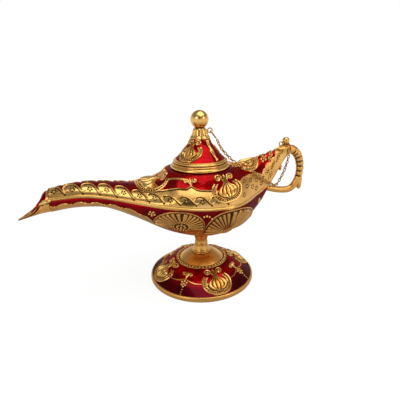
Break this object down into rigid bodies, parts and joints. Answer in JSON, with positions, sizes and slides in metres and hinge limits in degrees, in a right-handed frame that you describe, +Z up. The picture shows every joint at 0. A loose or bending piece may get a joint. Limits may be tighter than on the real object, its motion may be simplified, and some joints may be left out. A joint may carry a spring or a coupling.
{
  "type": "genie oil lamp",
  "caption": "Ornamental oil lamp with a long spout, a loop handle, a round foot and a lift-off lid on a chain.",
  "frame": {"origin": "centre of the foot's underside, on the axis of the stem and the lid", "axes": "+Z up along the lid's axis, the spout points to -X and the handle to +X, +Y across the lamp"},
  "size_m": [0.1954, 0.075, 0.1196],
  "materials": {
    "gilt": "polished gold plate",
    "enamel": "glossy translucent red enamel over gilt",
    "fastener": "zinc-plated steel"
  },
  "bodies": {
    "lamp": {"foot_rim": "gilt", "foot_cone": "enamel", "foot_dome": "gilt", "dome_bead_ring": "gilt", "stem_knop": "gilt", "stem_ferrule": "gilt", "lower_shell": "enamel", "upper_shell": "enamel", "ridge_strips": "gilt", "spout_nozzle": "gilt", "nozzle_bosses": "gilt", "neck_collar": "gilt", "handle_loop": "gilt", "tail_finial": "gilt", "tail_eyelet": "gilt", "tail_ring": "gilt", "chain": "gilt", "foot_bolt": "fastener", "foot_washer": "fastener", "bowl_washer": "fastener", "bowl_nut": "fastener"},
    "lid": {"lid_cone": "enamel", "lid_rim_bead": "gilt", "lid_skirt": "gilt", "lid_cap": "gilt", "knob_ball": "gilt", "knob_stud": "fastener", "knob_washer": "fastener", "knob_nut": "fastener", "lid_eyelet": "gilt", "oval_link": "gilt"}
  },
  "joints": [
    {"name": "lid_lift", "type": "slide", "parent": "lamp", "child": "lid", "axis": [0, 0, 1], "range_m": [0, 0.024], "deforming": ["chain"]}
  ]
}
